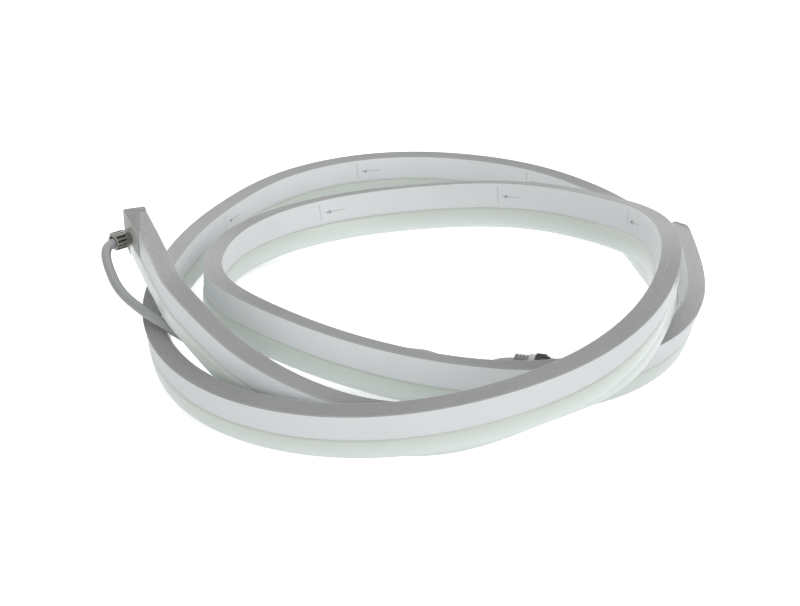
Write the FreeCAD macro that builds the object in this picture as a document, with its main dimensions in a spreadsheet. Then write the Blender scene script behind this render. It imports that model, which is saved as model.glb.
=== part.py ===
# Neon led strip: a side-bending silicone light strip lying as a loose coil on its milky side.
# Millimetres; x to the right, y away from the viewer, z up; the coil stands on z = 0 and is centred on the origin.
import FreeCAD, Part
import math
import os

Vec = FreeCAD.Vector
doc = FreeCAD.newDocument("neon_led_strip")

# Every size has its own cell in the sheet.
SIZES = [
    ("coil_reach", 100.0),
    ("strip_width", 9.2),
    ("strip_height", 23.5),
    ("lens_height", 10.5),
    ("lens_bulge", 0.4),
    ("lens_round", 2.4),
    ("lens_flats", 2),
    ("crease_inset", 0.4),
    ("crease_drop", 1.1),
    ("rib_count", 5),
    ("rib_depth", 0.4),
    ("rib_land", 0.6),
    ("cavity_width", 5.0),
    ("cavity_height", 8.8),
    ("ribbon_thickness", 0.3),
    ("ribbon_clearance", 0.1),
    ("unit_count", 20),
    ("leds_per_unit", 6),
    ("led_length", 3.8),
    ("led_depth", 1.0),
    ("led_height", 1.2),
    ("led_lift", 0.3),
    ("solder_gap", 0.05),
    ("resistor_length", 2.0),
    ("resistor_height", 1.25),
    ("resistor_depth", 0.55),
    ("resistor_lift", 4.5),
    ("cap_clearance", 0.1),
    ("cap_overlap", 0.4),
    ("tongue_length", 5.0),
    ("ribbon_inset", 1.0),
    ("far_cap_length", 4.0),
    ("far_cap_round", 3.0),
    ("cap_edge_round", 0.8),
    ("feed_plate", 2.5),
    ("cheek_thickness", 1.9),
    ("cheek_tip", 0.6),
    ("cheek_length", 28.0),
    ("flange_thickness", 0.7),
    ("flange_reach", 5.4),
    ("gland_from_end", 14.0),
    ("gland_height", 16.2),
    ("gland_angle", 22.0),
    ("boss_radius", 4.3),
    ("boss_height", 3.0),
    ("boss_root", 2.0),
    ("gland_clearance", 0.1),
    ("stem_radius", 2.3),
    ("stem_depth", 1.0),
    ("wire_bore", 1.75),
    ("wire_bore_length", 0.6),
    ("collar_radius", 4.0),
    ("collar_length", 1.4),
    ("sleeve_radius", 3.2),
    ("sleeve_length", 4.2),
    ("nut_width", 8.2),
    ("nut_length", 7.4),
    ("nut_front", 1.5),
    ("nut_gap", 0.2),
    ("nut_slot_width", 1.5),
    ("nut_slot_depth", 0.7),
    ("seal_length", 1.2),
    ("cable_diameter", 4.8),
    ("cable_clearance", 0.1),
    ("lead_straight", 2.4),
    ("lead_bend_run", 5.3),
    ("plug_lead_in", 8.0),
    ("wire_diameter", 1.1),
    ("wire_spread", 1.5),
    ("wire_stop", 0.5),
    ("plug_radius", 5.6),
    ("grip_radius", 4.3),
    ("grip_length", 7.0),
    ("grip_hold", 4.0),
    ("plug_ring_radius", 4.9),
    ("plug_ring_length", 3.2),
    ("neck_radius", 3.3),
    ("neck_hold", 1.8),
    ("head_length", 5.4),
    ("nose_radius", 4.0),
    ("nose_length", 5.0),
    ("chamber_radius", 3.1),
    ("chamber_depth", 7.0),
    ("pin_diameter", 1.2),
    ("pin_length", 5.6),
    ("pin_spread", 2.6),
    ("plug_seal_width", 1.1),
    ("plug_seal_wall", 0.7),
    ("plug_clearance", 0.1),
    ("plug_edge_round", 0.7),
]
sheet = doc.addObject("Spreadsheet::Sheet", "sizes")
for row, (alias, number) in enumerate(SIZES, 1):
    sheet.set("A%d" % row, alias)
    sheet.set("B%d" % row, str(number))
    sheet.setAlias("B%d" % row, alias)
doc.recompute()


def size(alias):
    return float(sheet.get(alias))


# The way of the strip: plan x and y in coil reaches, lift of the lowest edge in strip heights, lean in degrees
# (top outwards).
# It runs from the feed end, counter-clockwise seen from above, and crosses itself one strip height higher.
STATIONS = [
    (-1.31, 0.04, 1.128, 0), (-1.258, -0.117, 1.155, 0), (-1.206, -0.274, 1.182, 0), (-1.154, -0.431, 1.21, 1),
    (-1.092, -0.625, 1.27, 2), (-1.022, -0.82, 1.32, 4), (-0.905, -1, 1.18, 6), (-0.78, -1.123, 0.877, 5),
    (-0.616, -1.26, 0.651, 5), (-0.41, -1.39, 0.46, 5), (-0.13, -1.49, 0.3, 5), (0.2, -1.52, 0.36, 5),
    (0.61, -1.43, 0.766, 5), (0.875, -1.295, 0.92, 6), (1.065, -1.065, 0.99, 6), (1.2, -0.78, 1.13, 5),
    (1.275, -0.46, 1.0, 4), (1.285, -0.11, 0.64, 4), (1.25, 0.24, 0.383, 4), (1.19, 0.58, 0.17, 4),
    (1.02, 0.9, 0.043, 4), (0.75, 1.16, 0, 4), (0.4, 1.31, 0, 4), (0.02, 1.35, 0, 4),
    (-0.35, 1.26, 0, 4), (-0.66, 1.05, 0, 4), (-0.9, 0.72, 0, 4), (-1.07, 0.35, 0, 4),
    (-1.16, -0.02, 0, 5), (-1.18, -0.4, 0, 8), (-1.09, -0.81, 0.017, 10), (-0.88, -1.18, 0.11, 10),
    (-0.57, -1.46, 0.298, 10), (-0.2, -1.63, 0.553, 9), (0.18, -1.68, 0.851, 7), (0.55, -1.63, 1.213, 6),
    (0.87, -1.47, 1.575, 8), (1.1, -1.21, 2.03, 10), (1.19, -0.88, 2.29, 10), (1.16, -0.52, 2.14, 10),
    (1.03, -0.15, 1.723, 11), (0.79, 0.2, 1.32, 12), (0.49, 0.45, 0.957, 13), (0.14, 0.6, 0.596, 15),
    (-0.24, 0.64, 0.319, 15), (-0.58, 0.56, 0.128, 14), (-0.83, 0.35, 0.043, 8), (-0.94, 0.06, 0.043, -1),
    (-0.89, -0.25, 0.136, -4), (-0.69, -0.55, 0.255, -7), (-0.38, -0.77, 0.162, -8), (0, -0.93, 0.026, -8),
    (0.35, -1.03, 0, -7), (0.68, -1.03, 0, 0), (1, -0.91, 0, 8), (1.24, -0.69, 0, 14),
    (1.38, -0.41, 0, 17), (1.435, -0.08, 0, 20), (1.44, 0.25, 0, 20), (1.435, 0.43, 0, 20),
]
coil_reach = size("coil_reach")
strip_height = size("strip_height")
lens_width = size("strip_width") + 2 * size("lens_bulge")
lens_round = size("lens_round")
middles = []
leans = []
for x, y, lift, lean in STATIONS:
    turn = math.radians(lean)
    level = (strip_height / 2 - lens_round) * math.cos(turn)
    level += (lens_width / 2 - lens_round) * abs(math.sin(turn)) + lens_round
    middles.append(Vec(x * coil_reach, y * coil_reach, lift * strip_height + level))
    leans.append(turn)
marks = [0.0]
for before, after in zip(middles, middles[1:]):
    marks.append(marks[-1] + (after - before).Length)
spine = Part.BSplineCurve()
spine.interpolate(Points=middles, Parameters=marks)
alongs = []
sides = []
ups = []
for mark, turn in zip(marks, leans):
    along = spine.tangent(mark)[0]
    outward = along.cross(Vec(0, 0, 1)).normalize()
    upright = outward.cross(along)
    alongs.append(along)
    sides.append(outward * math.cos(turn) - upright * math.sin(turn))
    ups.append(upright * math.cos(turn) + outward * math.sin(turn))

# The gland stands on the outer wall near the feed end and looks outwards and a little along the strip.
feed_base = middles[0] - ups[0] * (strip_height / 2)
gland_seat = feed_base + alongs[0] * size("gland_from_end") + ups[0] * size("gland_height")
gland_seat += sides[0] * (size("strip_width") / 2)
gland_turn = math.radians(size("gland_angle"))
gland_axis = sides[0] * math.cos(gland_turn) + alongs[0] * math.sin(gland_turn)
gland_top = size("boss_height") + size("collar_length") + size("nut_gap") + size("nut_length")
cable_start = size("boss_height") + size("wire_bore_length") + size("cable_clearance")


def rail(across, height):
    # A long edge of the strip: one point of the section carried along every station.
    points = []
    for middle, side, up in zip(middles, sides, ups):
        points.append(middle + side * across + up * (height - strip_height / 2))
    curve = Part.BSplineCurve()
    curve.interpolate(Points=points, Parameters=marks)
    return curve


# The origin lies under the middle of the box of the strip with its gland.
box = FreeCAD.BoundBox()
for across in (-lens_width / 2, lens_width / 2):
    for height in (lens_round, size("lens_height"), strip_height):
        edge = rail(across, height)
        for step in range(801):
            box.add(edge.value(marks[-1] * step / 800))
nut_far = gland_seat + gland_axis * gland_top
nut_reach = size("nut_width") / math.sqrt(3) * math.sqrt(1 - gland_axis.x ** 2)
box.add(Vec(nut_far.x - nut_reach, nut_far.y, nut_far.z))
shift = Vec(-box.Center.x, -box.Center.y, 0)
middles = [middle + shift for middle in middles]
feed_base += shift
gland_seat += shift
spine.translate(shift)


def sweep(corners, first=0.0, last=0.0):
    # Carries a closed section of (across, height) corners along the way; first and last trim the two ends.
    begin = spine.parameterAtDistance(first, 0.0) if first else marks[0]
    end = spine.parameterAtDistance(spine.length() - last, 0.0) if last else marks[-1]
    rails = []
    for across, height in corners:
        curve = rail(across, height)
        curve.segment(begin, end)
        rails.append(curve)
    faces = []
    firsts = []
    lasts = []
    for now, after in zip(rails, rails[1:] + rails[:1]):
        surface = Part.BSplineSurface()
        surface.buildFromPolesMultsKnots(
            [now.getPoles(), after.getPoles()], [2, 2], now.getMultiplicities(),
            [0.0, 1.0], now.getKnots(), False, False, 1, now.Degree)
        faces.append(surface.toShape())
        firsts.append(surface.vIso(begin).toShape())
        lasts.append(surface.vIso(end).toShape())
    for edges in (firsts, lasts):
        faces.append(Part.Face(Part.Wire(Part.__sortEdges__(edges))))
    shell = Part.makeShell(faces)
    shell.sewShape(0.0001)
    solid = Part.makeSolid(shell.Shells[0] if shell.Shells else shell)
    if solid.Volume < 0:
        solid.reverse()
    return solid


def feature(label, shape, placement=None):
    piece = doc.addObject("Part::Feature", label)
    piece.Label = label
    piece.Shape = shape
    if placement:
        piece.Placement = placement
    return piece


# The jacket: opaque channel, open below, with a ribbed back on top.
half = size("strip_width") / 2
lens_top = size("lens_height")
roof = lens_top + size("cavity_height")
cave = size("cavity_width") / 2
land = size("rib_land")
ribs = int(size("rib_count"))
pitch = (size("strip_width") - 2 * land) / ribs
outline = [(half, lens_top), (half, strip_height), (half - land, strip_height)]
for rib in range(ribs):
    start = half - land - rib * pitch
    outline.append((start - pitch / 2, strip_height - size("rib_depth")))
    outline.append((start - pitch, strip_height))
outline += [(-half, strip_height), (-half, lens_top), (-cave, lens_top), (-cave, roof), (cave, roof), (cave, lens_top)]
jacket_shape = sweep(outline)
stem_hole = Part.makeCylinder(
    size("stem_radius") + size("gland_clearance"), size("strip_width"),
    gland_seat - gland_axis * (half - cave + 0.5 * size("stem_radius")), gland_axis)
jacket_shape = jacket_shape.cut(stem_hole)
jacket = feature("jacket", jacket_shape)

# The diffuser: milky lens under the channel, a little wider, rounded below in flats, with a crease at the joint.
wide = lens_width / 2
crease = lens_top - size("crease_drop")
low = lens_round
flats = int(size("lens_flats"))
lens_half = [(half - size("crease_inset"), lens_top), (wide, crease)]
for flat in range(flats + 1):
    swing = math.radians(90 * flat / flats)
    lens_half.append((wide - low + low * math.cos(swing), low - low * math.sin(swing)))
diffuser_shape = sweep(lens_half + [(-across, height) for across, height in reversed(lens_half)])
diffuser = feature("diffuser", diffuser_shape)

# The circuit ribbon stands upright in the channel between lens and roof.
thin = size("ribbon_thickness") / 2
ribbon_low = lens_top + size("ribbon_clearance")
ribbon_high = roof - size("ribbon_clearance")
ribbon_trim = size("tongue_length") + size("ribbon_inset")
ribbon_shape = sweep(
    [(thin, ribbon_low), (thin, ribbon_high), (-thin, ribbon_high), (-thin, ribbon_low)], ribbon_trim, ribbon_trim)
circuit_ribbon = feature("circuit_ribbon", ribbon_shape)

# Light chips along the foot of the ribbon, looking down at the lens, and a resistor in every unit.
seat_low = rail(thin, ribbon_low)
seat_high = rail(thin, ribbon_high)
ribbon_length = spine.length() - 2 * ribbon_trim
units = int(size("unit_count"))
per_unit = int(size("leds_per_unit"))


def chip(distance, lift, length, height, depth):
    # A small block on the outer face of the ribbon, its middle at this distance from the feed end.
    place = spine.parameterAtDistance(distance, 0.0)
    foot = seat_low.value(place)
    up = (seat_high.value(place) - foot).normalize()
    along = seat_low.tangent(place)[0]
    out = along.cross(up).normalize()
    along = up.cross(out)
    turn = FreeCAD.Rotation(along * -1, out, up, "ZXY")
    block = Part.makeBox(length, depth, height, Vec(-length / 2, 0, 0))
    block.Placement = FreeCAD.Placement(foot + up * lift + out * size("solder_gap"), turn)
    return block


leds = []
resistors = []
for unit in range(units):
    unit_start = ribbon_trim + ribbon_length * unit / units
    step = ribbon_length / units / per_unit
    for number in range(per_unit):
        leds.append(chip(unit_start + step * (number + 0.5), size("led_lift"),
                         size("led_length"), size("led_height"), size("led_depth")))
    resistors.append(chip(unit_start + step * 3, size("resistor_lift"),
                          size("resistor_length"), size("resistor_height"), size("resistor_depth")))
side_leds = feature("side_leds", Part.makeCompound(leds))
chip_resistors = feature("chip_resistors", Part.makeCompound(resistors))


def body(label, place):
    piece = doc.addObject("PartDesign::Body", label)
    piece.Label = label
    piece.Placement = place
    return piece


def solid(owner, kind, label, where, **formulas):
    # One primitive of a body; its sizes are bound to the sheet.
    piece = doc.addObject("PartDesign::" + kind, label)
    owner.addObject(piece)
    for name, formula in formulas.items():
        piece.setExpression(name, formula)
    piece.Placement = where
    return piece


def at(x, y, z, turn=None):
    return FreeCAD.Placement(Vec(x, y, z), turn or FreeCAD.Rotation())


def soften(owner, label, base, amount, wanted, kind="Chamfer"):
    # Breaks the edges of a finished primitive that the test picks out, by a flat or by a round.
    doc.recompute()
    names = ["Edge%d" % (i + 1) for i, edge in enumerate(base.Shape.Edges) if wanted(edge)]
    piece = doc.addObject("PartDesign::" + kind, label)
    owner.addObject(piece)
    piece.Base = (base, names)
    piece.setExpression("Radius" if kind == "Fillet" else "Size", amount)
    return piece


def upright(edge):
    return abs(edge.BoundBox.ZLength) > 1 and edge.BoundBox.XLength < 1e-6 and edge.BoundBox.YLength < 1e-6


# The far end cap: rounded block on the end with a tongue in the channel. x out of the end, z up.
far_turn = FreeCAD.Rotation(alongs[-1], sides[-1] * -1, ups[-1], "XZY")
far_place = FreeCAD.Placement(middles[-1] - ups[-1] * (strip_height / 2), far_turn)
far_end_cap = body("far_end_cap", far_place)
far_block = solid(far_end_cap, "AdditiveBox", "far_block", at(0, -lens_width / 2, 0),
                  Length="sizes.far_cap_length", Width="sizes.strip_width + 2 * sizes.lens_bulge",
                  Height="sizes.strip_height")
far_corner = soften(far_end_cap, "far_corner", far_block, "sizes.far_cap_round",
                    lambda edge: upright(edge) and edge.BoundBox.XMin > 1, "Fillet")
far_edge = soften(far_end_cap, "far_edge", far_corner, "sizes.cap_edge_round",
                  lambda edge: edge.BoundBox.ZLength < 1e-6 and edge.BoundBox.XMax > 1 and edge.BoundBox.ZMin > 1)
far_foot = soften(far_end_cap, "far_foot", far_edge, "0.85 * sizes.lens_round",
                  lambda edge: edge.BoundBox.ZLength < 1e-6 and edge.BoundBox.XMax > 1 and edge.BoundBox.ZMax < 1)
tongue_wide = size("cavity_width") - 2 * size("cap_clearance")
far_tongue = solid(far_end_cap, "AdditiveBox", "far_tongue",
                   at(-size("tongue_length"), -tongue_wide / 2, lens_top + size("cap_clearance")),
                   Length="sizes.tongue_length", Width="sizes.cavity_width - 2 * sizes.cap_clearance",
                   Height="sizes.cavity_height - 2 * sizes.cap_clearance")

# The feed end cap: closing plate, a cheek that thins out along the outer wall, a smooth flange over part of
# the ribs and the slanted boss of the gland. x out of the end, y outwards, z up.
feed_turn = FreeCAD.Rotation(alongs[0] * -1, sides[0], ups[0], "XZY")
feed_end_cap = body("feed_end_cap", FreeCAD.Placement(feed_base, feed_turn))
cheek_in = half + size("cap_clearance")
cheek_out = half + size("cheek_thickness")
flange_low = strip_height + size("cap_clearance")
feed_plate = solid(feed_end_cap, "AdditiveBox", "feed_plate_block", at(0, -lens_width / 2, 0),
                   Length="sizes.feed_plate",
                   Width="sizes.strip_width + sizes.lens_bulge + sizes.cheek_thickness",
                   Height="sizes.strip_height + sizes.cap_clearance + sizes.flange_thickness")
feed_corner = soften(feed_end_cap, "feed_corner", feed_plate, "sizes.cap_edge_round",
                     lambda edge: edge.BoundBox.XMax > 1)
quarter = FreeCAD.Rotation(Vec(0, 0, 1), 90)
cheek = solid(feed_end_cap, "AdditiveWedge", "cheek", at(0, 0, 0, quarter),
              Xmin="sizes.strip_width / 2 + sizes.cap_clearance", Xmax="sizes.strip_width / 2 + sizes.cheek_thickness",
              Ymin="-sizes.cap_overlap", Ymax="sizes.cheek_length",
              Zmin="sizes.lens_height", Zmax="sizes.strip_height + sizes.cap_clearance + sizes.flange_thickness",
              X2min="sizes.strip_width / 2 + sizes.cap_clearance", X2max="sizes.strip_width / 2 + sizes.cheek_tip",
              Z2min="sizes.lens_height", Z2max="sizes.strip_height + sizes.cap_clearance + sizes.flange_thickness")
flange = solid(feed_end_cap, "AdditiveWedge", "flange", at(0, 0, 0, quarter),
               Xmin="sizes.strip_width / 2 - sizes.flange_reach", Xmax="sizes.strip_width / 2 + sizes.cheek_tip",
               Ymin="-sizes.cap_overlap", Ymax="sizes.cheek_length",
               Zmin="sizes.strip_height + sizes.cap_clearance",
               Zmax="sizes.strip_height + sizes.cap_clearance + sizes.flange_thickness",
               X2min="sizes.strip_width / 2 - sizes.cap_clearance", X2max="sizes.strip_width / 2 + sizes.cheek_tip",
               Z2min="sizes.strip_height + sizes.cap_clearance",
               Z2max="sizes.strip_height + sizes.cap_clearance + sizes.flange_thickness")
local_axis = Vec(-math.sin(gland_turn), math.cos(gland_turn), 0)
lean_out = FreeCAD.Rotation(Vec(0, 0, 1), local_axis)
local_seat = Vec(-size("gland_from_end"), half, size("gland_height"))


def on_axis(distance):
    return FreeCAD.Placement(local_seat + local_axis * distance, lean_out)


boss = solid(feed_end_cap, "AdditiveCylinder", "boss", on_axis(-size("boss_root")),
             Radius="sizes.boss_radius", Height="sizes.boss_height + sizes.boss_root")
room = solid(feed_end_cap, "SubtractiveBox", "strip_room", at(-2 * size("cheek_length"), cheek_in - 2 * size("strip_width"), -1),
             Length="2 * sizes.cheek_length", Width="2 * sizes.strip_width",
             Height="sizes.strip_height + sizes.cap_clearance + 1")
feed_hole = solid(feed_end_cap, "SubtractiveCylinder", "feed_hole", on_axis(-2 * size("boss_root")),
                  Radius="sizes.stem_radius + sizes.gland_clearance",
                  Height="2 * sizes.boss_root + 2 * sizes.boss_height")
feed_tongue = solid(feed_end_cap, "AdditiveBox", "feed_tongue",
                    at(-size("tongue_length"), -tongue_wide / 2, lens_top + size("cap_clearance")),
                    Length="sizes.tongue_length", Width="sizes.cavity_width - 2 * sizes.cap_clearance",
                    Height="sizes.cavity_height - 2 * sizes.cap_clearance")

# The gland: stem and collar, seal and slotted nut, all on one axis that starts on the outer wall.
gland_rot = FreeCAD.Rotation(ups[0], Vec(), gland_axis, "ZXY")
gland_place = FreeCAD.Placement(gland_seat, gland_rot)
gland_body = body("gland_body", gland_place)
stem = solid(gland_body, "AdditiveCylinder", "stem", at(0, 0, -size("stem_depth")),
             Radius="sizes.stem_radius", Height="sizes.stem_depth + sizes.boss_height")
collar = solid(gland_body, "AdditiveCylinder", "collar", at(0, 0, size("boss_height")),
               Radius="sizes.collar_radius", Height="sizes.collar_length")
sleeve = solid(gland_body, "AdditiveCylinder", "sleeve", at(0, 0, size("boss_height")),
               Radius="sizes.sleeve_radius", Height="sizes.collar_length + sizes.nut_gap + sizes.sleeve_length")
cable_bore = solid(gland_body, "SubtractiveCylinder", "cable_bore",
                   at(0, 0, size("boss_height") + size("wire_bore_length")),
                   Radius="sizes.cable_diameter / 2 + sizes.cable_clearance", Height="2 * sizes.nut_length")
wire_hole = solid(gland_body, "SubtractiveCylinder", "wire_hole", at(0, 0, -2 * size("stem_depth")),
                  Radius="sizes.wire_bore", Height="2 * sizes.stem_depth + 2 * sizes.boss_height")

nut_low = size("boss_height") + size("collar_length") + size("nut_gap")
gland_nut = body("gland_nut", gland_place)
nut_block = solid(gland_nut, "AdditivePrism", "nut_block", at(0, 0, nut_low),
                  Polygon="6", Circumradius="sizes.nut_width / sqrt(3)", Height="sizes.nut_length")
nut_soft = soften(gland_nut, "nut_soft", nut_block, "sizes.nut_slot_depth",
                  lambda edge: edge.BoundBox.ZLength < 1e-6 and edge.BoundBox.ZMin > nut_low + 1)
nut_thread = solid(gland_nut, "SubtractiveCylinder", "nut_thread", at(0, 0, nut_low - 1),
                   Radius="sizes.sleeve_radius + sizes.gland_clearance",
                   Height="sizes.nut_length - sizes.nut_front + 1")
nut_mouth = solid(gland_nut, "SubtractiveCylinder", "nut_mouth", at(0, 0, nut_low),
                  Radius="sizes.cable_diameter / 2 + sizes.cable_clearance", Height="sizes.nut_length + 1")
for flat in range(6):
    angle = 30 + 60 * flat
    spin = FreeCAD.Rotation(Vec(0, 0, 1), angle)
    corner = spin.multVec(Vec(size("nut_width") / 2 - size("nut_slot_depth"), -size("nut_slot_width") / 2, nut_low - 1))
    slot = solid(gland_nut, "SubtractiveBox", "nut_slot_%d" % flat, FreeCAD.Placement(corner, spin),
                 Length="sizes.nut_width / 2", Width="sizes.nut_slot_width", Height="sizes.nut_length - sizes.nut_front + 1")

gland_seal = body("gland_seal", gland_place)
seal_low = nut_low + size("sleeve_length")
seal_ring = solid(gland_seal, "AdditiveCylinder", "seal_ring", at(0, 0, seal_low),
                  Radius="sizes.sleeve_radius", Height="sizes.seal_length")
seal_bore = solid(gland_seal, "SubtractiveCylinder", "seal_bore", at(0, 0, seal_low - 1),
                  Radius="sizes.cable_diameter / 2 + sizes.cable_clearance / 2", Height="sizes.seal_length + 2")

# The two cores of the lead run through the stem to the ribbon.
wires = []
reach = (half - thin - size("wire_stop")) / math.cos(gland_turn)
for sign in (-1, 1):
    offset = ups[0] * (sign * size("wire_spread") / 2)
    foot = gland_seat + offset - gland_axis * reach
    wires.append(Part.makeCylinder(size("wire_diameter") / 2, reach + cable_start, foot, gland_axis))
lead_wires = feature("lead_wires", Part.makeCompound(wires))


def bent_rod(points, radius):
    # A round rod along straight runs joined by tangent arcs.
    edges = []
    start = points[0]
    for before, corner, after in zip(points, points[1:], points[2:]):
        back = (before - corner).normalize()
        ahead = (after - corner).normalize()
        shorter = min((before - corner).Length, (after - corner).Length)
        cut = 0.45 * shorter
        turn = math.pi - back.getAngle(ahead)
        bend = cut / math.tan(turn / 2)
        print("bend radius %.1f, turn %.0f, run %.1f" % (bend, math.degrees(turn), (before - corner).Length))
        first = corner + back * cut
        last = corner + ahead * cut
        inward = (back + ahead).normalize()
        centre = corner + inward * (bend / math.cos(turn / 2))
        edges.append(Part.makeLine(start, first))
        edges.append(Part.Arc(first, centre - inward * bend, last).toShape())
        start = last
    edges.append(Part.makeLine(start, points[-1]))
    path = Part.Wire(edges)
    ring = Part.Wire(Part.makeCircle(radius, points[0], points[1] - points[0]))
    rod = path.makePipeShell([ring], True, False)
    print("rod length %.1f, volume ratio %.4f" % (path.Length, rod.Volume / (math.pi * radius ** 2 * path.Length)))
    return rod


# The lead: out of the gland, down over the lower strand, under the upper one, along the floor to the plug.
plug_heading = Vec(0.97, -0.243, 0).normalize()
PLUG = (0.54, -0.7)
plug_start = Vec(PLUG[0] * coil_reach, PLUG[1] * coil_reach, size("plug_radius")) + shift
cable = size("cable_diameter") / 2
# The lead bends sharply where it leaves the nut. Its other points give plan x and y in coil reaches and the
# lift of its underside in strip heights.
LEAD = [
    (-1.398, -0.32, 1.506), (-1.34, -0.465, 1.209), (-1.215, -0.605, 1.089), (-1.065, -0.77, 1.072),
    (-0.94, -0.83, 0.855), (-0.825, -0.78, 0.387), (-0.72, -0.625, 0.009), (-0.52, -0.465, 0),
    (-0.2, -0.5, 0), (0.12, -0.555, 0), (0.32, -0.68, 0),
]
lead_out = gland_seat + gland_axis * (gland_top + size("lead_straight"))
lead_points = [gland_seat + gland_axis * cable_start, lead_out]
lead_points.append(lead_out + Vec(-0.33, -0.9, -0.25).normalize() * size("lead_bend_run"))
for x, y, lift in LEAD:
    lead_points.append(Vec(x * coil_reach, y * coil_reach, lift * strip_height + cable) + shift)
lead_points += [plug_start - plug_heading * size("plug_lead_in"), plug_start + plug_heading * size("grip_hold")]
lead_cable = feature("lead_cable", bent_rod(lead_points, cable))

# The plug on the end of the lead: grip, ring, barrel with pins and seal, lying on the floor.
plug_place = FreeCAD.Placement(plug_start, FreeCAD.Rotation(Vec(), Vec(0, 0, 1), plug_heading, "ZYX"))
ring_low = size("grip_length")
head_low = ring_low + size("plug_ring_length")
nose_low = head_low + size("head_length")
nose_top = nose_low + size("nose_length")


def rim(low_end):
    return lambda edge: edge.BoundBox.ZLength < 1e-6 and abs(edge.BoundBox.ZMin - low_end) < 1e-6


plug_grip = body("plug_grip", plug_place)
grip_block = solid(plug_grip, "AdditiveCylinder", "grip_block", at(0, 0, 0),
                   Radius="sizes.grip_radius", Height="sizes.grip_length")
grip_soft = soften(plug_grip, "grip_soft", grip_block, "sizes.plug_edge_round", rim(0.0))
grip_bore = solid(plug_grip, "SubtractiveCylinder", "grip_bore", at(0, 0, -1),
                  Radius="sizes.cable_diameter / 2 + sizes.cable_clearance / 2", Height="sizes.grip_hold + 1")
grip_socket = solid(plug_grip, "SubtractiveCylinder", "grip_socket", at(0, 0, ring_low - size("neck_hold")),
                    Radius="sizes.neck_radius + sizes.plug_clearance", Height="sizes.neck_hold + 1")

plug_ring = body("plug_ring", plug_place)
ring_block = solid(plug_ring, "AdditiveCylinder", "ring_block", at(0, 0, ring_low),
                   Radius="sizes.plug_ring_radius", Height="sizes.plug_ring_length")
ring_bore = solid(plug_ring, "SubtractiveCylinder", "ring_bore", at(0, 0, ring_low - 1),
                  Radius="sizes.neck_radius + sizes.plug_clearance", Height="sizes.plug_ring_length + 2")

plug_barrel = body("plug_barrel", plug_place)
head = solid(plug_barrel, "AdditiveCylinder", "head", at(0, 0, head_low),
             Radius="sizes.plug_radius", Height="sizes.head_length")
head_soft = soften(plug_barrel, "head_soft", head, "sizes.plug_edge_round", rim(nose_low))
neck = solid(plug_barrel, "AdditiveCylinder", "neck", at(0, 0, ring_low - size("neck_hold") + size("plug_clearance")),
             Radius="sizes.neck_radius", Height="sizes.neck_hold - sizes.plug_clearance + sizes.plug_ring_length")
nose = solid(plug_barrel, "AdditiveCylinder", "nose", at(0, 0, head_low),
             Radius="sizes.nose_radius", Height="sizes.head_length + sizes.nose_length")
chamber = solid(plug_barrel, "SubtractiveCylinder", "chamber", at(0, 0, nose_top - size("chamber_depth")),
                Radius="sizes.chamber_radius", Height="sizes.chamber_depth + 1")

plug_seal = body("plug_seal", plug_place)
seal_block = solid(plug_seal, "AdditiveCylinder", "seal_block", at(0, 0, nose_low),
                   Radius="sizes.nose_radius + sizes.plug_seal_wall", Height="sizes.plug_seal_width")
seal_inside = solid(plug_seal, "SubtractiveCylinder", "seal_inside", at(0, 0, nose_low - 1),
                    Radius="sizes.nose_radius + sizes.plug_clearance / 2", Height="sizes.plug_seal_width + 2")

pins = []
for sign in (-1, 1):
    pins.append(Part.makeCylinder(size("pin_diameter") / 2, size("pin_length"),
                                  Vec(0, sign * size("pin_spread") / 2, nose_top - size("chamber_depth"))))
plug_pins = feature("plug_pins", Part.makeCompound(pins), plug_place)

doc.recompute()
NODES = [
    jacket, diffuser, circuit_ribbon, side_leds, chip_resistors, far_end_cap, feed_end_cap, gland_body, gland_nut,
    gland_seal, lead_wires, lead_cable, plug_grip, plug_ring, plug_barrel, plug_seal, plug_pins,
]
for item in doc.Objects:
    if "Invalid" in item.State or "Error" in item.State:
        raise RuntimeError("object in error: " + item.Name)
os.makedirs("parts", exist_ok=True)
for node in NODES:
    if node.Shape.isNull() or not node.Shape.isValid():
        raise RuntimeError("bad shape: " + node.Label)
    print("%-16s volume %10.1f solids %d" % (node.Label, node.Shape.Volume, len(node.Shape.Solids)))
    node.Shape.exportStep("parts/" + node.Label + ".step")
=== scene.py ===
import bmesh
import bpy
import math
import numpy as np
from mathutils import Matrix, Vector


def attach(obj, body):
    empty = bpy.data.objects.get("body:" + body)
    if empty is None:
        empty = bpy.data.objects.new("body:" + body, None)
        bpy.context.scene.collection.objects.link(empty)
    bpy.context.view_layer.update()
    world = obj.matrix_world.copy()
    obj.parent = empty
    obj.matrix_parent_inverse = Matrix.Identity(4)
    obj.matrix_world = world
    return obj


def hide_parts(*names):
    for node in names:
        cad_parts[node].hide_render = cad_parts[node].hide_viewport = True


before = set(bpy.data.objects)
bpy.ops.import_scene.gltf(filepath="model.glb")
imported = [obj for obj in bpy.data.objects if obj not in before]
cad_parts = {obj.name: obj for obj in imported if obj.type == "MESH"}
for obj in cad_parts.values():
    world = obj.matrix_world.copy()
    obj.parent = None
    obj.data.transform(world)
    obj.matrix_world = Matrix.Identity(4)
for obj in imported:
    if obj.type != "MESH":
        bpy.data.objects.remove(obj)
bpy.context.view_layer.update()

# The way of the strip: a soft extrusion of about two metres, wound by hand into a loose coil that stands on
# its narrow side. A station gives the plan place in millimetres, the lift in strip heights and the lean in
# degrees; a smooth line through the stations carries the strip's section from the feed end to the far end.
MM = 0.001
STRIP_WIDTH = 9.2
STRIP_HEIGHT = 23.5
LENS_HEIGHT = 10.5
LENS_WIDTH = 10.0
LENS_ROUND = 2.4
COIL_SHIFT = (-4.8268, 16.6970)
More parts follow.
